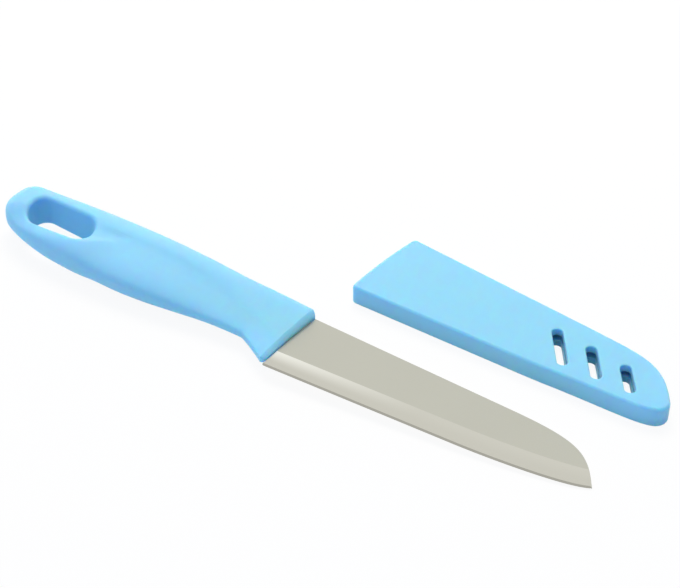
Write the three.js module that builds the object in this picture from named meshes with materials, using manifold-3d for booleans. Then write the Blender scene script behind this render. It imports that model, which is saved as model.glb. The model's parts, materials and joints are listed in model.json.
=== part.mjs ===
// A small camping and fruit knife with its blade cover laid beside it.
// Three pieces: a stamped and ground blade with a hidden tang, a moulded handle over that tang,
// and a moulded sheath that slides over the blade. Millimetres, +Z up, standing on z = 0.
//
// The knife and the sheath are both drawn in the blade's own frame: x runs from the handle's
// front face to the tip, y is measured from the blade's straight spine, and z = 0 is mid-thickness.

import * as THREE from 'three';
import { mergeVertices } from 'three/addons/utils/BufferGeometryUtils.js';
import Module from 'manifold-3d';

// Blade
const BLADE_LENGTH = 101.2; // handle front to tip
const BLADE_WIDTH = 25.6; // spine to edge at the heel
const BLADE_THICKNESS = 1.2;
const EDGE_ANGLE = 4.25; // degrees by which the straight edge closes on the spine
const BELLY_RUN = 39.5; // curved run of the edge up to the tip
const BELLY_EASE = 11.5; // pull of the belly curve along the straight edge
const BELLY_TURN = 5; // pull of the belly curve back from the tip
const BELLY_LIFT = 1.15; // height gained by the belly curve before its last turn
const TIP_RISE = 4.5; // tip above the line of the straight edge
const NOSE_RUN = 32.5; // run over which the spine turns down to the tip
const NOSE_EASE = 21.8; // pull of the nose curve along the spine
const NOSE_TURN = 6.8; // pull of the nose curve back from the tip
const NOSE_SINK = 2.65; // height lost by the nose curve before its last turn
const BEVEL_WIDTH = 7; // ground face above the edge
const EDGE_LAND = 0.2; // steel left at the cutting edge
const TANG_COVER = 4.4; // plastic left beside the tang at the neck
const TANG_END_COVER = 14; // plastic left between the tang and the hang slot
const TANG_ROOT = 6; // run over which the tang joins the blade
const TANG_HOLE_DIAMETER = 5;
const TANG_HOLES = 2;

// Handle
const HANDLE_LENGTH = 112.1;
const SPINE_PROUD = 1.6; // handle's back above the blade's spine at the front
const SPINE_ARCH = 1.33; // further rise of the handle's back to the top of its arch
const ARCH_AT = 42; // top of the arch behind the front
const BACK_FALL = 3.85; // fall of the back from its arch towards the butt
const CORNER_DROP = 5; // rounded corner between the back and the butt
const CORNER_RUN = 7;
const NECK_AT = 12.5; // narrowest place behind the front
const NECK_WIDTH = 20.75;
const BELLY_AT = 61.5; // widest and thickest place behind the front
const BELLY_WIDTH = 25.65;
const HEEL_PROUD = 0.56; // blade's heel below the handle's beak
const BEAK_BEND = 1.1; // exponent of the line from the neck to the beak, where 1 is straight
const HANDLE_THICKNESS = 12.9; // at the belly
const FRONT_THICKNESS = 6.6; // front face at the spine
const HEEL_THICKNESS = 4; // front face at the heel
const BUTT_THICKNESS = 10.9;
const BUTT_ROUND = 6; // rounding of the butt seen from the side
const FRONT_ROUND = 1.6; // rounded edge round the front face
const FRONT_FULLNESS = 1.25; // exponent of that rounding: 1 is a chamfer and 2 a round
const WEDGE_RUN = 28; // run over which the wedge at the front turns into the oval grip
const SWELL = 1.8; // how late the front thickens into the grip
const BELLY_FULLNESS = 3.1; // exponent of the butt's lower quarter
const FRONT_SQUARENESS = 6; // exponent of the section at the front face
const BACK_SQUARENESS = 3.2; // exponents of the grip's section towards its back and its belly
const BELLY_SQUARENESS = 2.8;
const HANG_LENGTH = 25;
const HANG_WIDTH = 11.1;
const HANG_END_FLAT = 1.6; // straight part of the slot's rounded ends
const HANG_END_LEAN = 11.5; // degrees by which the slot's ends lean towards the butt
const HANG_FROM_BUTT = 10.7;
const HANG_BELOW_ARCH = 14.18; // slot's middle below the top of the arch
const CREASE_BELOW_BACK = 6.8; // soft crease along each face of the grip
const CREASE_SWEEP = 11; // how far the crease sweeps down towards the beak
const CREASE_SWEEP_RUN = 40; // run behind the front over which it does so
const CREASE_RUN_OUT = 12; // run over which the crease fades out before the hang slot
const FACE_DROP = 1.3; // drop of each face of the grip below its crease
const FRONT_DROP = 0.5; // drop at the front face
const DROP_RUN = 3.5; // run over which a face does half of its drop

// Sheath
const SHEATH_CLEARANCE = 0.4; // blade's outline to the cavity
const FACE_CLEARANCE = 0.35; // blade's faces to the cavity
const FACE_WALL = 2.4;
const MOUTH_GAP = 1.5; // mouth to the handle's front when the sheath is on
const MOUTH_WALL = 2.8; // side wall at the mouth
const SIDE_WALL = 1.3; // side wall where it is thinnest
const END_WALL = 3.65; // wall beyond the tip
const THIN_AT = 73.7; // place of the thinnest side wall
const MOUTH_BOW = 0.65; // outward bow of the mouth's rim
const SHEATH_EDGE_ROUND = 0.8;
const DRAIN_SLOTS = 3;
const DRAIN_WIDTH = 3.3;
const DRAIN_SLANT = 49.5; // degrees from the blade's axis
const DRAIN_PITCH = 11.4;
const DRAIN_FROM_TIP = 11; // last slot's middle behind the tip
const DRAIN_EDGE_MARGIN = 3.5; // slot's end to the sheath's edge side
const DRAIN_SPINE_MARGIN = 6.8; // slot's end to the sheath's spine side

// Fit and placing
const FIT_GAP = 0.3; // between pieces that touch
const SHEATH_GAP = 17.2; // blade's spine to the sheath's near mouth corner
const SHEATH_AHEAD = 3.35; // sheath's mouth ahead of its home on the blade
const SHEATH_YAW = -6.2; // degrees

// Fineness of the curves
const HANDLE_SIDES = 36;
const HANDLE_STEPS = 44;
const BLADE_STEPS = 26;
const OUTLINE_STEPS = 14;
const CORNER_STEPS = 8;
const ROUND_STEPS = 3;
const SETTLE_STEPS = 5;
const REST_STEP = 0.25;
const WELD = 1e-4;

const STEEL = { color: 0xc4c2b8, roughness: 0.35, metalness: 1 };
const PLASTIC = { color: 0x9ad9f5, roughness: 0.45, metalness: 0 };

const wasm = await Module();
wasm.setup();

const { degToRad, lerp, smoothstep } = THREE.MathUtils;
const at = (x, y) => new THREE.Vector2(x, y);

// Solids

function toSolid(geometry) {
  geometry.deleteAttribute('normal');
  geometry.deleteAttribute('uv');
  const merged = mergeVertices(geometry, WELD);
  return new wasm.Manifold(new wasm.Mesh({
    numProp: 3,
    vertProperties: new Float32Array(merged.attributes.position.array),
    triVerts: new Uint32Array(merged.index.array),
  }));
}

function toGeometry(solid) {
  const mesh = solid.getMesh();
  const geometry = new THREE.BufferGeometry();
  geometry.setAttribute('position', new THREE.BufferAttribute(mesh.vertProperties, 3));
  geometry.setIndex(new THREE.BufferAttribute(mesh.triVerts, 1));
  geometry.computeVertexNormals();
  return geometry;
}

// A closed skin over rings of points: each end is a fan to its own middle point.
function loft(rings, startPoint, endPoint) {
  const count = rings[0].length;
  const points = [...rings.flat(), startPoint, endPoint];
  const start = points.length - 2;
  const end = points.length - 1;
  const lastRing = (rings.length - 1) * count;
  const triangles = [];
  for (let j = 0; j < count; j += 1) {
    const next = (j + 1) % count;
    for (let i = 0; i < rings.length - 1; i += 1) {
      const low = i * count;
      const high = low + count;
      triangles.push(low + j, low + next, high + j, low + next, high + next, high + j);
    }
    triangles.push(start, next, j, end, lastRing + j, lastRing + next);
  }
  const geometry = new THREE.BufferGeometry().setFromPoints(points);
  geometry.setIndex(triangles);
  return toSolid(geometry);
}

// A flat shape given thickness evenly about z = 0.
function plate(shape, thickness) {
  const geometry = new THREE.ExtrudeGeometry(shape, { depth: thickness, bevelEnabled: false });
  return toSolid(geometry.translate(0, 0, -thickness / 2));
}

// A rounded slot about the origin, whose points are then placed.
function roundedSlot(length, width, corner, place) {
  const shape = new THREE.Shape();
  const dx = length / 2 - corner;
  const dy = width / 2 - corner;
  shape.absarc(dx, dy, corner, 0, Math.PI / 2);
  shape.absarc(-dx, dy, corner, Math.PI / 2, Math.PI);
  shape.absarc(-dx, -dy, corner, Math.PI, 1.5 * Math.PI);
  shape.absarc(dx, -dy, corner, 1.5 * Math.PI, 2 * Math.PI);
  return new THREE.Shape(shape.getPoints(CORNER_STEPS).map(place));
}

// Blade outline

const edgeSlope = Math.tan(degToRad(EDGE_ANGLE));
const straightEdge = (x) => at(x, x * edgeSlope - BLADE_WIDTH);
const tip = straightEdge(BLADE_LENGTH).add(at(0, TIP_RISE));
const bellyStart = BLADE_LENGTH - BELLY_RUN;
const noseStart = BLADE_LENGTH - NOSE_RUN;
const bellyCurve = new THREE.CubicBezierCurve(
  straightEdge(bellyStart),
  straightEdge(bellyStart + BELLY_EASE),
  straightEdge(BLADE_LENGTH - BELLY_TURN).add(at(0, BELLY_LIFT)),
  tip,
);
const noseCurve = new THREE.CubicBezierCurve(
  at(noseStart, 0),
  at(noseStart + NOSE_EASE, 0),
  at(BLADE_LENGTH - NOSE_TURN, -NOSE_SINK),
  tip,
);

// Height of a curve at x, for a curve whose x only grows.
function heightAt(curve, x) {
  let low = 0;
  let high = 1;
  while (high - low > WELD) {
    const middle = (low + high) / 2;
    if (curve.getPoint(middle).x < x) {
      low = middle;
    } else {
      high = middle;
    }
  }
  return curve.getPoint(low).y;
}

const edgeAt = (x) => (x <= bellyStart ? straightEdge(x).y : heightAt(bellyCurve, x));
const spineAt = (x) => (x <= noseStart ? 0 : heightAt(noseCurve, x));

// Handle outline and thickness, at a distance behind the front face

const archTop = SPINE_PROUD + SPINE_ARCH;
const buttY = archTop - BACK_FALL - CORNER_DROP;

// A quarter of a round whose exponent sets its fullness: 1 at the start and 0 at the end.
function quarter(share, exponent) {
  return (1 - Math.min(1, Math.max(0, share)) ** exponent) ** (1 / exponent);
}

const quarterWave = (share) => Math.sin((Math.PI / 2) * share);

function handleBack(behind) {
  if (behind <= ARCH_AT) {
    return SPINE_PROUD + SPINE_ARCH * quarterWave(behind / ARCH_AT);
  }
  const fall = BACK_FALL * ((behind - ARCH_AT) / (HANDLE_LENGTH - ARCH_AT)) ** 2;
  const corner = CORNER_DROP * (1 - quarter((behind - HANDLE_LENGTH + CORNER_RUN) / CORNER_RUN, 2));
  return archTop - fall - corner;
}

const beakY = HEEL_PROUD - BLADE_WIDTH;
const neckY = handleBack(NECK_AT) - NECK_WIDTH;
const bellyY = handleBack(BELLY_AT) - BELLY_WIDTH;

function handleFront(behind) {
  if (behind <= NECK_AT) {
    return lerp(neckY, beakY, (1 - behind / NECK_AT) ** BEAK_BEND);
  }
  if (behind <= BELLY_AT) {
    return lerp(neckY, bellyY, smoothstep(behind, NECK_AT, BELLY_AT));
  }
  const share = (behind - BELLY_AT) / (HANDLE_LENGTH - BELLY_AT);
  return lerp(buttY, bellyY, quarter(share, BELLY_FULLNESS));
}

// Half-thickness at mid-width.
function halfThickness(behind) {
  const belly = HANDLE_THICKNESS / 2;
  if (behind <= BELLY_AT) {
    return lerp((FRONT_THICKNESS + HEEL_THICKNESS) / 4, belly, quarterWave(behind / BELLY_AT) ** SWELL);
  }
  const body = lerp(belly, BUTT_THICKNESS / 2, smoothstep(behind, BELLY_AT, HANDLE_LENGTH) ** 2);
  return body * quarter((behind - HANDLE_LENGTH + BUTT_ROUND) / BUTT_ROUND, 2);
}

const hangMiddle = at(HANG_FROM_BUTT + HANG_LENGTH / 2 - HANDLE_LENGTH, archTop - HANG_BELOW_ARCH);
const hangFront = HANDLE_LENGTH - HANG_FROM_BUTT - HANG_LENGTH;

// How far a face has dropped below the crease, which starts at the hang slot, runs along the back
// and sweeps down to the beak.
function faceDrop(behind, y) {
  const sweep = CREASE_SWEEP * Math.max(0, 1 - behind / CREASE_SWEEP_RUN) ** 2;
  const below = Math.max(0, handleBack(behind) - CREASE_BELOW_BACK - sweep - y);
  const rear = 1 - smoothstep(behind, hangFront - CREASE_RUN_OUT, hangFront);
  const depth = rear * lerp(FRONT_DROP, FACE_DROP, smoothstep(behind, 0, WEDGE_RUN));
  return (depth * below ** 2) / (below ** 2 + DROP_RUN ** 2);
}

const power = (value, exponent) => Math.sign(value) * Math.abs(value) ** exponent;

// A section of the handle, drawn in by an inset. It is a wedge at the front, thick at the spine
// and thin at the beak, and an oval in the grip.
function handleRing(behind, inset) {
  const halfWidth = (handleBack(behind) - handleFront(behind)) / 2;
  const middle = handleBack(behind) - halfWidth;
  const half = halfThickness(behind);
  const gripShare = smoothstep(behind, 0, WEDGE_RUN);
  const taper = lerp((FRONT_THICKNESS - HEEL_THICKNESS) / (FRONT_THICKNESS + HEEL_THICKNESS), 0, gripShare);
  const ring = [];
  for (let i = 0; i < HANDLE_SIDES; i += 1) {
    const angle = (2 * Math.PI * (i + 0.5)) / HANDLE_SIDES;
    const gripSquareness = Math.cos(angle) > 0 ? BACK_SQUARENESS : BELLY_SQUARENESS;
    const exponent = 2 / lerp(FRONT_SQUARENESS, gripSquareness, gripShare);
    const across = power(Math.cos(angle), exponent);
    const y = middle + (halfWidth - inset) * across;
    const full = (half - inset / (1 + taper)) * (1 + taper * across);
    const z = (full - faceDrop(behind, y)) * power(Math.sin(angle), exponent);
    ring.push(new THREE.Vector3(-behind, y, z));
  }
  return ring;
}

// Pieces in the blade's frame

const tangTop = handleBack(NECK_AT) - TANG_COVER;
const tangBottom = neckY + TANG_COVER;
const tangLength = hangFront - TANG_END_COVER;

// The tang's plate, or with a gap the pocket round it, whose pillars pass through the tang's holes.
function tangPlate(gap) {
  const shape = new THREE.Shape();
  shape.moveTo(TANG_ROOT, tangBottom - gap);
  shape.lineTo(TANG_ROOT, tangTop + gap);
  shape.lineTo(-tangLength - gap, tangTop + gap);
  shape.lineTo(-tangLength - gap, tangBottom - gap);
  for (let i = 1; i <= TANG_HOLES; i += 1) {
    const hole = new THREE.Path();
    const x = (-tangLength * i) / (TANG_HOLES + 1);
    hole.absarc(x, (tangTop + tangBottom) / 2, TANG_HOLE_DIAMETER / 2 - gap, 0, 2 * Math.PI);
    shape.holes.push(hole);
  }
  return plate(shape, BLADE_THICKNESS + 2 * gap);
}

// A section of the blade: flat faces down to the grind line, then the bevel down to the edge.
// Where the nose is narrower than the bevel, the bevel takes up the whole face.
function bladeRing(x) {
  const spine = spineAt(x);
  const edge = edgeAt(x);
  const grind = Math.min(edge + BEVEL_WIDTH, lerp(edge, spine, BEVEL_WIDTH / (BEVEL_WIDTH + EDGE_LAND)));
  const halfAt = (y) => lerp(EDGE_LAND, BLADE_THICKNESS, Math.min(1, (y - edge) / BEVEL_WIDTH)) / 2;
  const heights = [spine, grind, edge];
  const upper = heights.map((y) => new THREE.Vector3(x, y, halfAt(y)));
  const lower = heights.map((y) => new THREE.Vector3(x, y, -halfAt(y)));
  return [...upper, ...lower.reverse()];
}

function buildBlade() {
  const rings = [bladeRing(FIT_GAP)];
  for (let i = 0; i < BLADE_STEPS; i += 1) {
    rings.push(bladeRing(lerp(bellyStart, BLADE_LENGTH, quarterWave(i / BLADE_STEPS))));
  }
  const heel = new THREE.Vector3(FIT_GAP, -BLADE_WIDTH / 2, 0);
  return loft(rings, heel, new THREE.Vector3(tip.x, tip.y, 0)).add(tangPlate(0));
}

function buildHandle() {
  const rings = [];
  for (let i = 1; i <= HANDLE_STEPS; i += 1) {
    const share = (1 - Math.cos((Math.PI * i) / HANDLE_STEPS)) / 2;
    rings.push(handleRing(lerp(HANDLE_LENGTH, FRONT_ROUND, share), 0));
  }
  for (let i = 1; i <= ROUND_STEPS; i += 1) {
    const angle = (Math.PI * i) / ROUND_STEPS / 2;
    const behind = FRONT_ROUND * (1 - Math.sin(angle) ** (2 / FRONT_FULLNESS));
    rings.push(handleRing(behind, FRONT_ROUND * (1 - Math.cos(angle) ** (2 / FRONT_FULLNESS))));
  }
  const butt = new THREE.Vector3(-HANDLE_LENGTH, buttY, 0);
  const front = new THREE.Vector3(0, (handleBack(0) + beakY) / 2, 0);
  const corner = (HANG_WIDTH - HANG_END_FLAT) / 2;
  const lean = Math.tan(degToRad(HANG_END_LEAN));
  const place = (point) => at(point.x - lean * point.y, point.y).add(hangMiddle);
  const slot = roundedSlot(HANG_LENGTH, HANG_WIDTH, corner, place);
  return loft(rings, butt, front).subtract(plate(slot, 2 * HANDLE_THICKNESS)).subtract(tangPlate(FIT_GAP));
}

// Sheath

const cavityThickness = BLADE_THICKNESS + 2 * FACE_CLEARANCE;
const sheathThickness = cavityThickness + 2 * FACE_WALL;
const mouthX = MOUTH_BOW + MOUTH_GAP;

// Blade's outline to the sheath's outside: the wall thins from the mouth and thickens to the end.
function sheathReach(x) {
  if (x <= THIN_AT) {
    return SHEATH_CLEARANCE + lerp(MOUTH_WALL, SIDE_WALL, x / THIN_AT);
  }
  const share = (x - THIN_AT) / (BLADE_LENGTH - THIN_AT);
  return SHEATH_CLEARANCE + lerp(SIDE_WALL, END_WALL, share ** 2);
}

// Points of the blade's outline, from the mouth's edge corner round the tip to its spine corner,
// pushed outwards by a distance that may change along x.
function pushedOut(distance) {
  const points = [];
  const push = (point, normal) => {
    points.push(point.clone().addScaledVector(normal, distance(point.x)));
  };
  push(straightEdge(mouthX), at(edgeSlope, -1).normalize());
  for (let i = 0; i <= OUTLINE_STEPS; i += 1) {
    const tangent = bellyCurve.getTangent(i / OUTLINE_STEPS);
    push(bellyCurve.getPoint(i / OUTLINE_STEPS), at(tangent.y, -tangent.x));
  }
  const bellyEnd = bellyCurve.getTangent(1);
  const noseEnd = noseCurve.getTangent(1);
  for (let i = 1; i < CORNER_STEPS; i += 1) {
    const from = Math.atan2(-bellyEnd.x, bellyEnd.y);
    const angle = lerp(from, Math.atan2(noseEnd.x, -noseEnd.y), i / CORNER_STEPS);
    push(tip, at(Math.cos(angle), Math.sin(angle)));
  }
  for (let i = OUTLINE_STEPS; i >= 0; i -= 1) {
    const tangent = noseCurve.getTangent(i / OUTLINE_STEPS);
    push(noseCurve.getPoint(i / OUTLINE_STEPS), at(-tangent.y, tangent.x));
  }
  push(at(mouthX, 0), at(0, 1));
  return points;
}

function shellOutline() {
  const points = pushedOut(sheathReach);
  const spineCorner = points[points.length - 1];
  const edgeCorner = points[0];
  const bow = at(mouthX - 2 * MOUTH_BOW, (spineCorner.y + edgeCorner.y) / 2);
  const rim = new THREE.QuadraticBezierCurve(spineCorner, bow, edgeCorner);
  return new THREE.Shape([...points, ...rim.getPoints(CORNER_STEPS).slice(1, -1)]);
}

// The cavity runs out past the mouth's rim.
function cavityOutline() {
  const points = pushedOut(() => SHEATH_CLEARANCE);
  const spineY = points[points.length - 1].y;
  const edgeY = points[0].y;
  return new THREE.Shape([...points, at(0, spineY), at(0, edgeY)]);
}

// The slot's ends keep their margins to the sheath's two sides, each taken at that end.
function drainSlot(i) {
  const x = BLADE_LENGTH - DRAIN_FROM_TIP - i * DRAIN_PITCH;
  const slant = degToRad(DRAIN_SLANT);
  let run = 0;
  let low = 0;
  let high = 0;
  for (let step = 0; step < SETTLE_STEPS; step += 1) {
    low = edgeAt(x + run) - sheathReach(x + run) + DRAIN_EDGE_MARGIN;
    high = spineAt(x - run) + sheathReach(x - run) - DRAIN_SPINE_MARGIN;
    run = (high - low) / 2 / Math.tan(slant);
  }
  const length = DRAIN_WIDTH + (high - low - DRAIN_WIDTH) / Math.sin(slant);
  const middle = at(x, (low + high) / 2);
  const place = (point) => point.rotateAround(at(0, 0), -slant).add(middle);
  return roundedSlot(length, DRAIN_WIDTH, DRAIN_WIDTH / 2, place);
}

function buildSheath() {
  const shell = new THREE.ExtrudeGeometry(shellOutline(), {
    depth: sheathThickness - 2 * SHEATH_EDGE_ROUND,
    bevelThickness: SHEATH_EDGE_ROUND,
    bevelSize: SHEATH_EDGE_ROUND,
    bevelOffset: -SHEATH_EDGE_ROUND,
    bevelSegments: ROUND_STEPS,
  });
  shell.translate(0, 0, SHEATH_EDGE_ROUND - sheathThickness / 2);
  let sheath = toSolid(shell).subtract(plate(cavityOutline(), cavityThickness));
  for (let i = 0; i < DRAIN_SLOTS; i += 1) {
    sheath = sheath.subtract(plate(drainSlot(i), 2 * sheathThickness));
  }
  return sheath;
}

// Scene graph

function piece(name, solid, finish) {
  const mesh = new THREE.Mesh(toGeometry(solid), new THREE.MeshStandardMaterial(finish));
  mesh.name = name;
  return mesh;
}

// The knife lies on its side on two places, the underside of the grip and the blade's nose,
// so its nose dips until the line between them is level.
function restTilt() {
  let nose = BLADE_LENGTH;
  while (spineAt(nose) - edgeAt(nose) < BEVEL_WIDTH) {
    nose -= REST_STEP;
  }
  let tilt = 0;
  for (let behind = 0; behind < HANDLE_LENGTH; behind += REST_STEP) {
    const depth = Math.max(...handleRing(behind, 0).map((point) => point.z));
    tilt = Math.max(tilt, Math.atan2(depth - BLADE_THICKNESS / 2, nose + behind));
  }
  return tilt;
}

const knife = new THREE.Group();
knife.add(piece('blade', buildBlade(), STEEL));
knife.add(piece('handle', buildHandle(), PLASTIC));
knife.rotation.y = restTilt();

const sheath = piece('sheath', buildSheath(), PLASTIC);
sheath.position.set(SHEATH_AHEAD, SHEATH_GAP + BLADE_WIDTH + sheathReach(0), 0);
sheath.rotation.z = degToRad(SHEATH_YAW);

// Each stands on the table, and the middle of their common footprint is the origin.
for (const item of [knife, sheath]) {
  item.position.z -= new THREE.Box3().setFromObject(item, true).min.z;
}
const set = new THREE.Group();
set.add(knife, sheath);
const footprint = new THREE.Box3().setFromObject(set, true).getCenter(new THREE.Vector3());
set.position.set(-footprint.x, -footprint.y, 0);

export default set;
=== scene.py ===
"""A small camping knife with its sheath laid beside it, dressed around the packed frame.

The file is laid out as an add-on: sizes, colours and the stage are properties, each piece has an
operator, and a panel in the 3D view's sidebar lists them. The pieces are drawn in the blade's own
frame, where x runs from the handle's front to the tip, y is measured from the blade's straight spine
and z = 0 is mid-thickness. The frame then says where the knife and the sheath lie.
"""

import json
import math

import bmesh
import bpy
import numpy as np
from bpy.props import FloatProperty, FloatVectorProperty, IntProperty, PointerProperty
from mathutils import Matrix, Vector
from mathutils.geometry import tessellate_polygon


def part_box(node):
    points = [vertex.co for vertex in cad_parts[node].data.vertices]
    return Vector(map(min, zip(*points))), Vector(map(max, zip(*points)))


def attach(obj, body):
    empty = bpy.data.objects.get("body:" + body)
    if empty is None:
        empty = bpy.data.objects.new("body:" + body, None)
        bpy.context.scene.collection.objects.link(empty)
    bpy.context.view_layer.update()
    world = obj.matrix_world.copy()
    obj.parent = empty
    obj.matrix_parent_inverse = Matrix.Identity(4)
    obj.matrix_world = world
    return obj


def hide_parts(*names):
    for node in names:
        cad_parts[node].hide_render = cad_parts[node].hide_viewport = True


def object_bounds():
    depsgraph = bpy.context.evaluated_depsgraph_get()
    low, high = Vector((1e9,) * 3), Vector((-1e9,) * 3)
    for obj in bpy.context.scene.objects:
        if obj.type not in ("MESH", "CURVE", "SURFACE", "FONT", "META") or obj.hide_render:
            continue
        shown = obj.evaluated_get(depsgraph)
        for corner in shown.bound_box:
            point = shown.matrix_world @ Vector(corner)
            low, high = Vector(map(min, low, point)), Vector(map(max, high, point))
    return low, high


bl_info = {
    "name": "Camping Knife",
    "version": (1, 0, 0),
    "blender": (4, 5, 0),
    "location": "View3D > Sidebar > Camping Knife",
    "description": "Builds a moulded camping knife, its sheath and a plain studio around the packed frame",
    "category": "Add Mesh",
}

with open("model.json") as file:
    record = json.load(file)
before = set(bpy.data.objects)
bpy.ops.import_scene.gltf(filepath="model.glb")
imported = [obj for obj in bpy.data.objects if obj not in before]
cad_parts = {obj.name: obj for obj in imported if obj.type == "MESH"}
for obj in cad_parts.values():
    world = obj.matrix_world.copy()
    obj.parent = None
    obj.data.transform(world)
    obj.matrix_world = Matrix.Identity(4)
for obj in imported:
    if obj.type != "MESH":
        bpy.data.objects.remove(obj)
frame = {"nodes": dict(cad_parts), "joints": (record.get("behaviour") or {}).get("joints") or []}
CAD_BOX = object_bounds()

MM = 0.001
QUARTER_TURN = math.pi / 2

# Fineness of the curves
CURVE_SAMPLES = 400
BLADE_STEPS = 110
HOLLOW_STEPS = 6
HANDLE_STEPS = 190
HANDLE_SIDES = 120
OUTLINE_STEPS = 56
ROUND_STEPS = 8
APRON_STEPS = 5
HOLE_SIDES = 32
CUTTER_SIDES = 66
CUTTER_PROUD = 1.001
CREASE_ANGLE = math.radians(35)
SLOT_TRIES = 8

# Real sizes of the marks on the plastic and the steel, and how strongly they show
CLOUD_SIZE = 20 * MM
CLOUDING = 0.02
GRAIN_SIZE = 0.4 * MM
GRAIN_DEPTH = 0.02 * MM
SATIN_LINE = 0.25 * MM
WHEEL_LINE = 0.3 * MM
LINE_DEPTH = 0.01 * MM
LINE_SHEEN = 0.03
# Painted highlight below the grind line: its fading run, the level where it begins, its share at the tip
HIGHLIGHT_RUN = 50 * MM
HIGHLIGHT_FROM = 0.3
TIP_HIGHLIGHT = 0.1

# Stage
FLOOR_SIZE = 6.0
FLOOR_GAP = 0.02 * MM
SOFTBOX_SIZE = (0.6, 0.6)
SOFTBOX_PLACE = (-0.3, 0.5, 1.05)


# Properties

def hex_colour(code):
    """An sRGB hex code such as "9ad9f5" as linear red, green and blue."""
    channels = [int(code[i:i + 2], 16) / 255 for i in (0, 2, 4)]
    return tuple(c / 12.92 if c <= 0.04045 else ((c + 0.055) / 1.055) ** 2.4 for c in channels)


def length(name, description, millimetres):
    return FloatProperty(
        name=name, description=description, default=millimetres * MM, unit="LENGTH", precision=5
    )


def angle(name, description, degrees):
    return FloatProperty(
        name=name, description=description, default=math.radians(degrees), subtype="ANGLE", unit="ROTATION"
    )


def number(name, description, value, unit="NONE"):
    return FloatProperty(name=name, description=description, default=value, unit=unit)


def colour(name, description, code):
    return FloatVectorProperty(
        name=name, description=description, default=hex_colour(code), subtype="COLOR", min=0, max=1
    )


class BladeSizes(bpy.types.PropertyGroup):
    """Sizes of the stamped and ground blade and of its hidden tang."""

    length: length("Length", "Handle front to tip", 101.2)
    width: length("Width", "Spine to edge at the heel", 25.6)
    thickness: length("Thickness", "Steel between the two faces", 1.2)
    edge_angle: angle("Edge angle", "Angle by which the straight edge closes on the spine", 4.25)
    belly_run: length("Belly run", "Curved run of the edge up to the tip", 39.5)
    belly_ease: length("Belly ease", "Pull of the belly curve along the straight edge", 11.5)
    belly_turn: length("Belly turn", "Pull of the belly curve back from the tip", 5)
    belly_lift: length("Belly lift", "Height gained by the belly curve before its last turn", 1.15)
    tip_rise: length("Tip rise", "Tip above the line of the straight edge", 4.5)
    nose_run: length("Nose run", "Run over which the spine turns down to the tip", 32.5)
    nose_ease: length("Nose ease", "Pull of the nose curve along the spine", 21.8)
    nose_turn: length("Nose turn", "Pull of the nose curve back from the tip", 6.8)
    nose_sink: length("Nose sink", "Height lost by the nose curve before its last turn", 2.65)
    bevel_width: length("Bevel width", "Ground face above the edge", 7)
    hollow: length("Hollow", "Depth that the grinding wheel leaves in the middle of the bevel", 0.057)
    honed_width: length("Honed width", "Steeper strip honed along the cutting edge", 0.7)
    honed_thickness: length("Honed thickness", "Steel at the top of the honed strip", 0.4)
    edge_land: length("Edge land", "Steel left at the cutting edge", 0.12)
    spine_break: length("Spine break", "Broken corners of the spine", 0.12)
    heel_round: length("Heel round", "Rounded corner at the heel of the edge", 0.7)
    heel_gap: length("Heel gap", "Heel to the handle's front face", 0.12)
    tang_cover: length("Tang cover", "Plastic left beside the tang at the neck", 4.4)
    tang_end_cover: length("Tang end cover", "Plastic left between the tang and the hang slot", 14)
    tang_hole: length("Tang hole", "Diameter of the holes that lock the tang in the plastic", 5)
    tang_holes: IntProperty(name="Tang holes", description="Holes along the tang", default=2)
    tang_fit: length("Tang fit", "Moulded plastic to the tang", 0.02)


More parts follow.
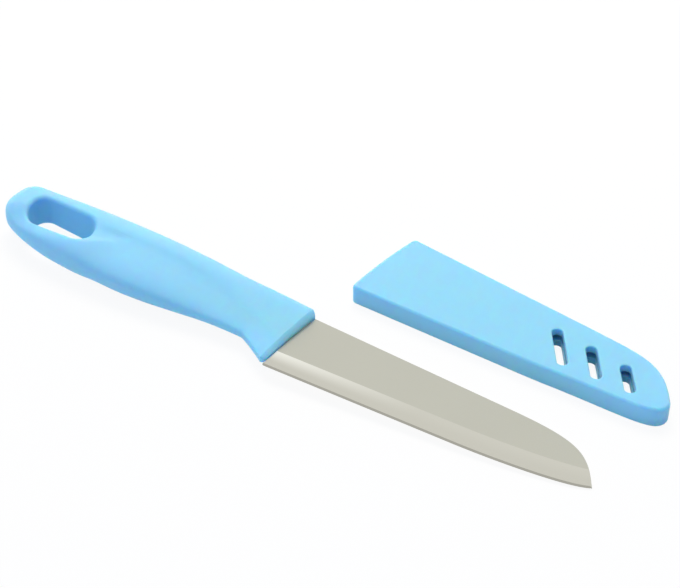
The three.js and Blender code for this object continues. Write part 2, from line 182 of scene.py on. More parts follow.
class HandleSizes(bpy.types.PropertyGroup):
    """Sizes of the handle that is moulded over the tang."""

    length: length("Length", "Front face to butt", 112.09)
    spine_proud: length("Spine proud", "Handle's back above the blade's spine at the front", 1.6)
    spine_arch: length("Spine arch", "Further rise of the back to the top of its arch", 1.33)
    arch_at: length("Arch place", "Top of the arch behind the front", 42)
    back_fall: length("Back fall", "Fall of the back from its arch towards the butt", 3.85)
    corner_drop: length("Corner drop", "Rounded corner between the back and the butt, across the handle", 5)
    corner_run: length("Corner run", "Rounded corner between the back and the butt, along the handle", 7)
    neck_at: length("Neck place", "Narrowest place behind the front", 12.5)
    neck_width: length("Neck width", "Width at the neck", 20.75)
    belly_at: length("Belly place", "Widest and thickest place behind the front", 61.5)
    belly_width: length("Belly width", "Width at the belly", 25.65)
    heel_proud: length("Heel proud", "Blade's heel below the handle's beak", 0.56)
    beak_bend: number("Beak bend", "Exponent of the line from neck to beak, where 1 is straight", 1.1)
    thickness: length("Thickness", "Thickness at the belly", 12.72)
    front_thickness: length("Front thickness", "Front face at the spine", 6.6)
    heel_thickness: length("Heel thickness", "Front face at the heel", 4)
    butt_thickness: length("Butt thickness", "Thickness before the butt's rounding", 10.85)
    butt_round: length("Butt round", "Rounding of the butt seen from the side", 6)
    front_round: length("Front round", "Rounded edge round the front face", 1.6)
    front_fullness: number("Front fullness", "Exponent of that rounding, 1 for a chamfer", 1.25)
    front_lean: angle("Front lean", "Forward lean of the front face from the beak to the back", 2.9)
    wedge_run: length("Wedge run", "Run over which the front wedge turns into the oval grip", 28)
    swell: number("Swell", "How late the front thickens into the grip", 1.8)
    belly_fullness: number("Belly fullness", "Exponent of the butt's lower quarter", 3.1)
    front_squareness: number("Front squareness", "Exponent of the section at the front face", 6)
    back_squareness: number("Back squareness", "Exponent of the grip's section towards its back", 3.2)
    belly_squareness: number("Belly squareness", "Exponent of the grip's section towards its belly", 2.8)
    hang_length: length("Hang slot length", "Hang slot along the handle", 25)
    hang_width: length("Hang slot width", "Hang slot across the handle", 11.1)
    hang_end_flat: length("Hang slot end", "Straight part of the slot's rounded ends", 1.6)
    hang_end_lean: angle("Hang slot lean", "Angle by which the slot's ends lean towards the butt", 11.5)
    hang_from_butt: length("Hang slot place", "Butt to the slot", 10.7)
    hang_below_arch: length("Hang slot height", "Slot's middle below the top of the arch", 14.18)
    hang_rim: length("Hang slot rim", "Rounded rim of the slot", 1.5)
    crease_below_back: length("Crease place", "Soft crease along each face below the back", 6.8)
    crease_sweep: length("Crease sweep", "How far the crease sweeps down towards the beak", 11)
    crease_sweep_run: length("Crease sweep run", "Run behind the front over which it sweeps down", 40)
    crease_run_out: length("Crease run-out", "Run over which the crease fades out before the hang slot", 12)
    face_drop: length("Face drop", "Drop of each face of the grip below its crease", 1.3)
    front_drop: length("Front drop", "Drop at the front face", 0.5)
    drop_run: length("Drop run", "Run over which a face does half of its drop", 3.5)
    groove_depth: length("Groove depth", "Groove that runs out of the hang slot along the grip", 1.4)
    groove_width: length("Groove width", "Groove where it leaves the slot", 14)
    groove_run: length("Groove run", "Slot to the point where the groove ends", 14)
    groove_turn: angle("Groove turn", "Groove's turn towards the back", 17)


class SheathSizes(bpy.types.PropertyGroup):
    """Sizes of the moulded sheath and of its drain slots."""

    clearance: length("Clearance", "Blade's outline to the cavity", 0.4)
    face_clearance: length("Face clearance", "Blade's faces to the cavity", 0.35)
    face_wall: length("Face wall", "Wall over the blade's faces", 2.4)
    mouth_wall: length("Mouth wall", "Side wall at the mouth", 2.8)
    side_wall: length("Side wall", "Side wall where it is thinnest", 1.3)
    end_wall: length("End wall", "Wall beyond the tip", 3.65)
    thin_at: length("Thinnest place", "Place of the thinnest side wall", 73.7)
    mouth_bow: length("Mouth bow", "Outward bow of the mouth's rim", 0.65)
    mouth_gap: length("Mouth gap", "Mouth to the handle's front when the sheath is on", 1.5)
    mouth_corner: length("Mouth corner", "Run of the rounded corners beside the mouth", 1.7)
    edge_round: length("Edge round", "Rounded edges of both faces", 0.9)
    slots: IntProperty(name="Drain slots", description="Slanted slots through both faces", default=3)
    slot_width: length("Slot width", "Drain slot across", 3.3)
    slot_slant: angle("Slot slant", "Drain slots to the blade's axis", 49.5)
    slot_pitch: length("Slot pitch", "Drain slots along the blade's axis", 11.4)
    slot_from_tip: length("Slot place", "Last slot's middle behind the tip", 11)
    slot_edge_margin: length("Slot edge margin", "Slot's end to the sheath's edge side", 3.5)
    slot_spine_margin: length("Slot spine margin", "Slot's end to the sheath's spine side", 6.8)
    slot_rim: length("Slot rim", "Rounded rims of the drain slots", 0.45)


class Finishes(bpy.types.PropertyGroup):
    """Colours of the plastic and the steel, with a painted highlight and a painted shade on the steel."""

    plastic: colour("Plastic", "Sky-blue polypropylene", "9ad9f8")
    steel: colour("Steel", "Satin stainless steel", "c8c7ba")
    ground: colour("Ground steel", "Stainless steel as the wheel leaves it", "cccabe")
    # Painted highlight on the bevel below the grind line
    painted_highlight: colour("Polished steel", "Stainless steel below the grind line", "f4f3e9")
    # The honed strip's colour is darker than the ground steel's as painted shade
    honed: colour("Honed steel", "Stainless steel along the cutting edge", "a8a69c")


class StageSettings(bpy.types.PropertyGroup):
    """Camera, lamps and floor."""

    azimuth: angle("Azimuth", "Camera's bearing round the object", 34.1)
    elevation: angle("Elevation", "Camera above the horizon", 38)
    distance: length("Distance", "Camera to the point that it looks at", 504.5)
    aim: FloatVectorProperty(
        name="Aim", description="Point on the floor that the camera looks at", subtype="TRANSLATION",
        unit="LENGTH", default=(0.09 * MM, 7.44 * MM, 0)
    )
    lens: number("Lens", "Focal length in millimetres on a 36 mm sensor", 86.2, unit="CAMERA")
    sky: number("Sky", "Strength of the even light from all round", 0.71)
    sky_fall: number("Sky fall", "How much weaker that light is from the blade's side than on average", 0.6)
    sky_colour: colour("Sky colour", "Colour of the even light", "c9dcf9")
    softbox_colour: colour("Softbox colour", "Colour of the large lamp above", "fff1da")
    softbox_power: number("Softbox power", "Watts of the large lamp above", 11.2, unit="POWER")
    paper: colour("Paper", "Matt background paper", "f6f6f6")
    floor_white: number("Floor white", "Share of the floor that shows as plain white", 0.92)


# Curves and shares

def lerp(start, end, share):
    return start + (end - start) * share


def smoothstep(value, low, high):
    share = np.clip((value - low) / (high - low), 0, 1)
    return share * share * (3 - 2 * share)


def quarter(share, exponent):
    """A quarter of a round whose exponent sets its fullness: 1 at the start and 0 at the end."""
    return (1 - np.clip(share, 0, 1) ** exponent) ** (1 / exponent)


def quarter_wave(share):
    return np.sin(QUARTER_TURN * share)


def signed_power(value, exponent):
    return np.sign(value) * np.abs(value) ** exponent


def bezier(points, shares):
    """Points of a quadratic or cubic curve, and its unit tangents."""
    points = np.array(points, float)[:, None]
    shares = np.asarray(shares)[:, None]
    while len(points) > 2:
        points = lerp(points[:-1], points[1:], shares)
    return lerp(points[0], points[1], shares), unit(points[1] - points[0])


def unit(vectors):
    return vectors / np.linalg.norm(vectors, axis=-1, keepdims=True)


def right_of(tangents):
    return np.stack([tangents[:, 1], -tangents[:, 0]], axis=1)


def at_height(plan, z):
    return np.column_stack([plan, np.broadcast_to(z, len(plan))])


class BladeOutline:
    """The blade from its side: a straight spine and edge, then a nose and a belly up to the tip."""

    def __init__(self, sizes):
        self.width = sizes.width
        self.slope = math.tan(sizes.edge_angle)
        self.belly_start = sizes.length - sizes.belly_run
        self.nose_start = sizes.length - sizes.nose_run
        self.tip = self.straight(sizes.length) + (0, sizes.tip_rise)
        self.belly = [
            self.straight(self.belly_start),
            self.straight(self.belly_start + sizes.belly_ease),
            self.straight(sizes.length - sizes.belly_turn) + (0, sizes.belly_lift),
            self.tip,
        ]
        self.nose = [
            (self.nose_start, 0),
            (self.nose_start + sizes.nose_ease, 0),
            (sizes.length - sizes.nose_turn, -sizes.nose_sink),
            self.tip,
        ]
        shares = np.linspace(0, 1, CURVE_SAMPLES)
        self.belly_line = bezier(self.belly, shares)[0]
        self.nose_line = bezier(self.nose, shares)[0]

    def straight(self, x):
        return np.array([x, x * self.slope - self.width])

    def edge(self, x):
        curved = np.interp(x, self.belly_line[:, 0], self.belly_line[:, 1])
        return np.where(x <= self.belly_start, x * self.slope - self.width, curved)

    def spine(self, x):
        curved = np.interp(x, self.nose_line[:, 0], self.nose_line[:, 1])
        return np.where(x <= self.nose_start, 0.0, curved)

    def pushed_out(self, start, reach):
        """The outline from the edge at start round the tip to the spine, pushed out by reach(x)."""
        shares = np.linspace(0, 1, OUTLINE_STEPS)
        belly, belly_tangents = bezier(self.belly, shares)
        nose, nose_tangents = bezier(self.nose, shares[::-1])
        belly_out = right_of(belly_tangents)
        nose_out = -right_of(nose_tangents)
        turn = [math.atan2(out[1], out[0]) for out in (belly_out[-1], nose_out[0])]
        turns = np.linspace(turn[0], turn[1], ROUND_STEPS)[1:-1]
        points = np.vstack([self.straight(start), belly, [self.tip] * len(turns), nose, (start, 0)])
        outward = np.vstack([
            unit(np.array([self.slope, -1])),
            belly_out,
            np.stack([np.cos(turns), np.sin(turns)], axis=1),
            nose_out,
            (0, 1),
        ])
        return points + outward * reach(points[:, 0])[:, None]


class HandleForm:
    """The handle's outline and sections, at a distance behind its front face."""

    def __init__(self, sizes, blade):
        self.sizes = sizes
        self.arch_top = sizes.spine_proud + sizes.spine_arch
        self.butt_y = self.arch_top - sizes.back_fall - sizes.corner_drop
        self.beak_y = sizes.heel_proud - blade.width
        self.neck_y = self.back(sizes.neck_at) - sizes.neck_width
        self.belly_y = self.back(sizes.belly_at) - sizes.belly_width
        self.hang_front = sizes.length - sizes.hang_from_butt - sizes.hang_length
        self.hang_middle = np.array([
            sizes.hang_from_butt + sizes.hang_length / 2 - sizes.length,
            self.arch_top - sizes.hang_below_arch,
        ])

    def back(self, behind):
        s = self.sizes
        rise = s.spine_proud + s.spine_arch * quarter_wave(np.minimum(behind / s.arch_at, 1))
        fall = s.back_fall * ((behind - s.arch_at) / (s.length - s.arch_at)) ** 2
        corner = s.corner_drop * (1 - quarter((behind - s.length + s.corner_run) / s.corner_run, 2))
        return np.where(behind <= s.arch_at, rise, self.arch_top - fall - corner)

    def front(self, behind):
        s = self.sizes
        beak = lerp(self.neck_y, self.beak_y, (1 - np.minimum(behind / s.neck_at, 1)) ** s.beak_bend)
        grip = lerp(self.neck_y, self.belly_y, smoothstep(behind, s.neck_at, s.belly_at))
        share = (behind - s.belly_at) / (s.length - s.belly_at)
        butt = lerp(self.butt_y, self.belly_y, quarter(share, s.belly_fullness))
        return np.where(behind <= s.neck_at, beak, np.where(behind <= s.belly_at, grip, butt))

    def half_thickness(self, behind):
        s = self.sizes
        belly = s.thickness / 2
        rise = quarter_wave(np.minimum(behind / s.belly_at, 1)) ** s.swell
        front = lerp((s.front_thickness + s.heel_thickness) / 4, belly, rise)
        body = lerp(belly, s.butt_thickness / 2, smoothstep(behind, s.belly_at, s.length) ** 2)
        butt = body * quarter((behind - s.length + s.butt_round) / s.butt_round, 2)
        return np.where(behind <= s.belly_at, front, butt)

    def face_drop(self, behind, y):
        """How far a face has dropped below the crease along the back, which sweeps down to the beak."""
        s = self.sizes
        sweep = s.crease_sweep * np.maximum(0, 1 - behind / s.crease_sweep_run) ** 2
        below = np.maximum(0, self.back(behind) - s.crease_below_back - sweep - y)
        rear = 1 - smoothstep(behind, self.hang_front - s.crease_run_out, self.hang_front)
        depth = rear * lerp(s.front_drop, s.face_drop, smoothstep(behind, 0, s.wedge_run))
        return depth * below ** 2 / (below ** 2 + s.drop_run ** 2)

    def groove(self, behind, y):
        """Depth of the groove, which leaves the hang slot at its width and narrows to a point."""
        s = self.sizes
        from_slot = np.broadcast_arrays(self.hang_front - behind, y - self.hang_middle[1])
        along, across = np.moveaxis(turned(np.stack(from_slot, axis=-1), -s.groove_turn), -1, 0)
        left = np.clip(1 - along / s.groove_run, 0, 1)
        side = across / np.maximum(left * s.groove_width / 2, s.groove_depth)
        return s.groove_depth * left * np.maximum(0, 1 - side ** 2) ** 2

    def section(self, behind):
        """Middle, half-width, taper and grip's share of a section: a wedge in front, then an oval."""
        s = self.sizes
        half_width = (self.back(behind) - self.front(behind)) / 2
        grip_share = smoothstep(behind, 0, s.wedge_run)
        wedge = (s.front_thickness - s.heel_thickness) / (s.front_thickness + s.heel_thickness)
        return self.back(behind) - half_width, half_width, wedge * (1 - grip_share), grip_share

    def exponent(self, grip_share, to_back):
        s = self.sizes
        grip_squareness = np.where(to_back, s.back_squareness, s.belly_squareness)
        return 2 / lerp(s.front_squareness, grip_squareness, grip_share)

    def full_height(self, behind, y, widening, inset=0.0):
        """Half-height of a section's upper face before it is rounded towards its sides."""
        full = (self.half_thickness(behind) - inset) * (1 + widening)
        return full - self.face_drop(behind, y) - self.groove(behind, y)

    def ring(self, behind, inset=0.0):
        """Points round the section, drawn in by an inset."""
        turns = 2 * math.pi * (np.arange(HANDLE_SIDES) + 0.5) / HANDLE_SIDES
        middle, half_width, taper, grip_share = self.section(behind)
        exponent = self.exponent(grip_share, np.cos(turns) > 0)
        across = signed_power(np.cos(turns), exponent)
        y = middle + (half_width - inset) * across
        full = self.full_height(behind, y, taper * across, inset / (1 + taper))
        z = full * signed_power(np.sin(turns), exponent)
        return np.stack([np.full(HANDLE_SIDES, -behind), y, z], axis=1)

    def height(self, x, y):
        """Half-height of the faces over a place in the plan."""
        middle, half_width, taper, grip_share = self.section(-x)
        across = (y - middle) / half_width
        exponent = self.exponent(grip_share, across > 0)
        along_face = np.sqrt(1 - np.minimum(np.abs(across) ** (2 / exponent), 1))
        return self.full_height(-x, y, taper * across) * along_face ** exponent


def slot_feet(points, slot_length, slot_width, corner):
    """The nearest points of a rounded slot about the origin, and the directions out of the slot there."""
    core = np.array([slot_length / 2 - corner, slot_width / 2 - corner])
    inside = np.clip(points, -core, core)
    outward = unit(points - inside)
    return inside + outward * corner, outward


def turned(points, turn):
    cosine, sine = math.cos(turn), math.sin(turn)
    return points @ np.array([[cosine, sine], [-sine, cosine]])


# Meshes

class Draft:
    """The points and faces of one closed mesh while it is put together."""

    def __init__(self):
        self.points = []
        self.faces = []
        self.finishes = []
        self.creases = []

    def row(self, points):
        """Adds points and returns their numbers."""
        first = len(self.points)
        self.points.extend(tuple(map(float, point)) for point in points)
        return list(range(first, len(self.points)))

    def face(self, corners, finish=0):
        self.faces.append(tuple(corners))
        self.finishes.append(finish)

    def strip(self, first, second, closed=True, finish=0):
        """Quads between two rows of the same count."""
        for i in range(len(first) if closed else len(first) - 1):
            j = (i + 1) % len(first)
            self.face((first[i], first[j], second[j], second[i]), finish)

    def fan(self, row, point, finish=0):
        for i, corner in enumerate(row):
            self.face((corner, row[(i + 1) % len(row)], point), finish)

    def fill(self, *loops):
        """Triangles over a flat loop, round any further loops, which stay open."""
        corners = [corner for loop in loops for corner in loop]
        polygons = [[Vector(self.points[corner]) for corner in loop] for loop in loops]
        for triangle in tessellate_polygon(polygons):
            self.face([corners[i] for i in triangle])

    def crease(self, row):
        self.creases.extend(zip(row, row[1:]))

    def object(self, name, matrix, materials, crease_angle=None):
        """The closed mesh as an object, with its place in the mesh, faces out and flats kept flat."""
        mesh = bpy.data.meshes.new(name)
        mesh.from_pydata(self.points, [], self.faces)
        for material in materials:
            mesh.materials.append(material)
        mesh.polygons.foreach_set("material_index", self.finishes)
        draft = bmesh.new()
        draft.from_mesh(mesh)
        draft.verts.ensure_lookup_table()
        for pair in self.creases:
            edge = draft.edges.get([draft.verts[i] for i in pair])
            edge.smooth = False
        loose = [vertex for vertex in draft.verts if not vertex.link_faces]
        bmesh.ops.delete(draft, geom=loose, context="VERTS")
        bmesh.ops.recalc_face_normals(draft, faces=draft.faces)
        draft.transform(matrix)
        for face in draft.faces:
            face.smooth = True
        if crease_angle:
            for edge in draft.edges:
                if edge.calc_face_angle(0) > crease_angle:
                    edge.smooth = False
        draft.to_mesh(mesh)
        draft.free()
        return add_object(name, mesh)


def add_object(name, data):
    added = bpy.data.objects.new(name, data)
    bpy.context.scene.collection.objects.link(added)
    return added


def settle(piece):
    """Applies a piece's modifiers, so that its object holds a plain mesh."""
    depsgraph = bpy.context.evaluated_depsgraph_get()
    mesh = bpy.data.meshes.new_from_object(piece.evaluated_get(depsgraph), depsgraph=depsgraph)
    mesh.name = piece.name
    piece.modifiers.clear()
    piece.data = mesh


def keep_flats_flat(piece):
    """Weights the normals by face area, so that a rounded edge doesn't shade the flat beside it."""
    modifier = piece.modifiers.new("flat faces", "WEIGHTED_NORMAL")
    modifier.keep_sharp = True
    settle(piece)


def add_tang(draft, front, sizes, form, gap):
    """The tang's skin, or with a gap the pocket round it, behind its upper and lower front corners."""
    top, bottom = tang_levels(sizes, form)
    end = form.hang_front - sizes.tang_end_cover
    middle = (top + bottom) / 2
    radius = sizes.tang_hole / 2 - gap
    half = sizes.thickness / 2 + gap
    faces = []
    turns = 2 * math.pi * np.arange(HOLE_SIDES) / HOLE_SIDES
    for z, corners in ((half, front[:2]), (-half, front[2:])):
        back = draft.row([(-end - gap, top + gap, z), (-end - gap, bottom - gap, z)])
        holes = []
        for i in range(1, sizes.tang_holes + 1):
            x = -end * i / (sizes.tang_holes + 1)
            circle = [(x + radius * math.cos(t), middle + radius * math.sin(t), z) for t in turns]
            holes.append(draft.row(circle))
        outline = [corners[0], back[0], back[1], corners[1]]
        draft.fill(outline, *holes)
        faces.append((outline, holes))
    (upper, upper_holes), (lower, lower_holes) = faces
    draft.strip(upper, lower, closed=False)
    for first, second in zip(upper_holes, lower_holes):
        draft.strip(first, second)


def tang_levels(sizes, form):
    """Heights of the tang's upper and lower side."""
    neck_top = float(form.back(form.sizes.neck_at))
    return neck_top - sizes.tang_cover, float(form.neck_y) + sizes.tang_cover


def lean_front(draft, form):
    """Leans the handle's front face, and the blade's end in it, forward from the beak to the back."""
    points = np.array(draft.points)
    nearness = np.maximum(0, 1 - np.abs(points[:, 0]) / form.sizes.neck_at)
    points[:, 0] += math.tan(form.sizes.front_lean) * (points[:, 1] - form.beak_y) * nearness
    draft.points = points.tolist()


# Where the frame lays the pieces

def knife_place(sizes):
    """The knife's tilt from the blade's broad face in the frame, and its place from its tip and spine."""
    mesh = frame["nodes"]["blade"].data
    broad = max((face for face in mesh.polygons if face.normal.z > 0), key=lambda face: face.area)
    tilt = math.atan2(broad.normal.x, broad.normal.z)
    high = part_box("blade")[1]
    x = high.x - sizes.length * math.cos(tilt)
    level = broad.normal.dot(broad.center) - sizes.thickness / 2
    z = (level - broad.normal.x * x) / broad.normal.z
    return Matrix.Translation((x, high.y, z)) @ Matrix.Rotation(tilt, 4, "Y")


def sheath_place(points):
    """The sheath's turn from its joint's axis, and its place from the middle of its box in the frame."""
    axis = Vector(frame["joints"][0]["axis"])
    turn = Matrix.Rotation(math.atan2(axis.y, axis.x), 4, "Z")
    placed = np.array([turn @ Vector(point) for point in points])
    low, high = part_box("sheath")
    shift = (low + high) / 2 - Vector((placed.min(axis=0) + placed.max(axis=0)) / 2)
    return Matrix.Translation(shift) @ turn


# Blade

STEEL_FACE, STEEL_BEVEL, STEEL_EDGE = range(3)
BEVEL_LEVEL = "bevel_level"


def blade_stations(sizes):
    """Places of the sections along the blade, close together at the rounded heel and at the tip."""
    heel = sizes.heel_gap + sizes.heel_round * (1 - np.cos(QUARTER_TURN * np.linspace(0, 1, ROUND_STEPS)))
    straight = np.linspace(heel[-1], sizes.length - sizes.belly_run, ROUND_STEPS)[1:]
    curved = lerp(straight[-1], sizes.length, quarter_wave(np.arange(1, BLADE_STEPS) / BLADE_STEPS))
    return np.concatenate([heel, straight, curved])


def blade_section(sizes, outline, levels, x):
    """Heights and half-thicknesses of a section's upper face, from the spine down to the cutting edge."""
    spine = float(outline.spine(x))
    edge = float(outline.edge(x))
    into_heel = min((x - sizes.heel_gap) / sizes.heel_round, 1)
    edge += sizes.heel_round * (1 - math.sqrt(1 - (1 - into_heel) ** 2))
    tall = spine - edge
    break_down = min(sizes.spine_break, tall / 4)
    grind = min(sizes.bevel_width, tall - 2 * break_down)
    honed = min(sizes.honed_width, grind / 2)
    half = sizes.thickness / 2
    share = np.linspace(0, 1, HOLLOW_STEPS)
    hollow_y = edge + lerp(grind, honed, share)
    honed_half = sizes.honed_thickness / 2
    bevel_top = lerp(honed_half, half, (grind - honed) / (sizes.bevel_width - sizes.honed_width))
    hollow_z = lerp(bevel_top, honed_half, share) - 4 * sizes.hollow * share * (1 - share)
    flat_top = spine - break_down
    flat_y = [flat_top] + [lerp(edge + grind, flat_top, level) for level in levels]
    heights = np.concatenate([[spine], flat_y, hollow_y, [edge]])
    flat_z = [bevel_top - break_down] + [bevel_top] * len(flat_y)
    return heights, np.concatenate([flat_z, hollow_z, [sizes.edge_land / 2]])


def draft_blade(sizes, outline, form):
    """The ground blade in sections from its heel to its tip, and its tang."""
    draft = Draft()
    top, bottom = tang_levels(sizes, form)
    grind = float(outline.edge(sizes.heel_gap)) + sizes.heel_round + sizes.bevel_width
    flat = -sizes.spine_break - grind
    levels = [(top - grind) / flat, (bottom - grind) / flat]
    rings = []
    for x in blade_stations(sizes):
        heights, halves = blade_section(sizes, outline, levels, x)
        along = np.full(len(heights), x)
        upper = draft.row(zip(along, heights, halves))
        lower = draft.row(zip(along, heights, -halves))
        rings.append((upper, lower))
    grind_row = 2 + len(levels)
    honed_row = grind_row + HOLLOW_STEPS - 1
    last_row = honed_row + 1

    def finish_below(row):
        if row >= honed_row:
            return STEEL_EDGE
        return STEEL_BEVEL if row >= grind_row else STEEL_FACE

    for side in range(2):
        for first, second in zip(rings, rings[1:]):
            for row in range(last_row):
                corners = (first[side][row], first[side][row + 1], second[side][row + 1], second[side][row])
                draft.face(corners, finish_below(row))
        for row in (0, 1, grind_row, honed_row, last_row):
            draft.crease([ring[side][row] for ring in rings])
    for row, finish in ((0, STEEL_FACE), (last_row, STEEL_EDGE)):
        upper, lower = ([ring[side][row] for ring in rings] for side in range(2))
        draft.strip(upper, lower, closed=False, finish=finish)
    tip = draft.row([(*outline.tip, 0)])[0]
    last_upper, last_lower = rings[-1]
    draft.fan(last_upper + last_lower[::-1], tip, STEEL_BEVEL)
    heel_upper, heel_lower = rings[0]

    # The tang goes on behind the heel, from this row to the next
    tang_row = 2
    draft.strip(heel_upper[:tang_row + 1], heel_lower[:tang_row + 1], closed=False)
    draft.strip(heel_upper[tang_row + 1:], heel_lower[tang_row + 1:], closed=False)
    draft.crease(heel_upper)
    draft.crease(heel_lower)
    front = heel_upper[tang_row:tang_row + 2] + heel_lower[tang_row:tang_row + 2]
    add_tang(draft, front, sizes, form, 0)
    lean_front(draft, form)
    return draft


def mark_bevel(piece, place, sizes, outline):
    """Stores how high each point stands above the cutting edge, as a share of the bevel's width."""
    to_knife = place.inverted()
    levels = piece.data.attributes.new(BEVEL_LEVEL, "FLOAT", "POINT")
    for vertex, level in zip(piece.data.vertices, levels.data):
        x, y = (to_knife @ vertex.co).xy
        level.value = (y - outline.edge(x)) / sizes.bevel_width


# Handle

def hang_slot_rows(form, loop):
    """Rows of points from a loop round the hang slot in to its rounded rim, on the upper face."""
    s = form.sizes
    corner = (s.hang_width - s.hang_end_flat) / 2
    lean = np.array([math.tan(s.hang_end_lean), 0])
    local = loop[:, :2] - form.hang_middle
    upright = local + local[:, 1:] * lean
    feet, outward = slot_feet(upright, s.hang_length, s.hang_width, corner)
    reach = np.linalg.norm(upright - feet, axis=1)
    rows = []
    for share in np.linspace(1, 0, APRON_STEPS + 1)[1:]:
        rows.append((lerp(s.hang_rim, reach, share), 0))
    for turn in QUARTER_TURN * np.linspace(1, 0, ROUND_STEPS + 1)[1:]:
        distance = np.full_like(reach, s.hang_rim * (1 - math.cos(turn)))
        rows.append((distance, s.hang_rim * (1 - math.sin(turn))))
    placed = []
    for distance, drop in rows:
        upright = feet + outward * distance[:, None]
        plan = upright - upright[:, 1:] * lean + form.hang_middle
        z = form.height(plan[:, 0], plan[:, 1]) - drop
        placed.append(at_height(plan, z))
    return placed


def patch_loop(rows, columns):
    """Grid places round the border of a patch, in order."""
    first_row, last_row = rows
    first_column, last_column = columns
    loop = [(i, first_column) for i in range(first_row, last_row)]
    loop += [(last_row, j) for j in range(first_column, last_column)]
    loop += [(i, last_column) for i in range(last_row, first_row, -1)]
    loop += [(first_row, j) for j in range(last_column, first_column, -1)]
    return loop


def draft_handle(form, blade):
    """The handle in rings from its butt to its front, with its hang slot and the pocket round the tang."""
    s = form.sizes
    draft = Draft()
    shares = (1 - np.cos(math.pi * np.arange(1, HANDLE_STEPS + 1) / HANDLE_STEPS)) / 2
    places = lerp(s.length, s.front_round, shares)
    rings = [form.ring(behind) for behind in places]
    for turn in QUARTER_TURN * np.arange(1, ROUND_STEPS + 1) / ROUND_STEPS:
        in_from_front = 1 - math.sin(turn) ** (2 / s.front_fullness)
        in_from_side = 1 - math.cos(turn) ** (2 / s.front_fullness)
        rings.append(form.ring(s.front_round * in_from_front, s.front_round * in_from_side))
    grid = [draft.row(ring) for ring in rings]

    # The patch round the hang slot, clear of the slot by more than its rim
    margin = s.hang_rim * 2
    end_margin = margin + s.hang_width / 2 * math.tan(s.hang_end_lean)
    hang_rear = form.hang_front + s.hang_length
    first_row = int(np.argmax(places < hang_rear + end_margin)) - 1
    last_row = int(np.argmax(places < form.hang_front - end_margin))
    middle_ring = rings[(first_row + last_row) // 2]
    upper_y = middle_ring[:HANDLE_SIDES // 2, 1]
    reach = s.hang_width / 2 + margin
    first_column = int(np.argmax(upper_y < form.hang_middle[1] + reach)) - 1
    last_column = int(np.argmax(upper_y < form.hang_middle[1] - reach))
    loop = patch_loop((first_row, last_row), (first_column, last_column))

    def in_patch(i, j):
        upper_column = j if j < HANDLE_SIDES // 2 else HANDLE_SIDES - 2 - j
        return first_row <= i < last_row and first_column <= upper_column < last_column

    for i in range(len(grid) - 1):
        for j in range(HANDLE_SIDES):
            if not in_patch(i, j):
                k = (j + 1) % HANDLE_SIDES
                draft.face((grid[i][j], grid[i][k], grid[i + 1][k], grid[i + 1][j]))
    draft.fan(grid[0], draft.row([(-s.length, form.butt_y, 0)])[0])

    border = np.array([rings[i][j] for i, j in loop])
    upper_rows = hang_slot_rows(form, border)
    wall = [draft.row(row) for row in upper_rows]
    wall += [draft.row(row * (1, 1, -1)) for row in upper_rows[::-1]]
    wall.insert(0, [grid[i][j] for i, j in loop])
    wall.append([grid[i][HANDLE_SIDES - 1 - j] for i, j in loop])
    for first, second in zip(wall, wall[1:]):
        draft.strip(first, second)

    top, bottom = tang_levels(blade, form)
    gap = blade.tang_fit
    half = blade.thickness / 2 + gap
    levels = (top + gap, bottom - gap)
    mouth = draft.row([(0, y, z) for z in (half, -half) for y in levels])
    draft.fill(grid[-1], [mouth[0], mouth[1], mouth[3], mouth[2]])
    add_tang(draft, mouth, blade, form, gap)
    lean_front(draft, form)
    return draft


# Sheath

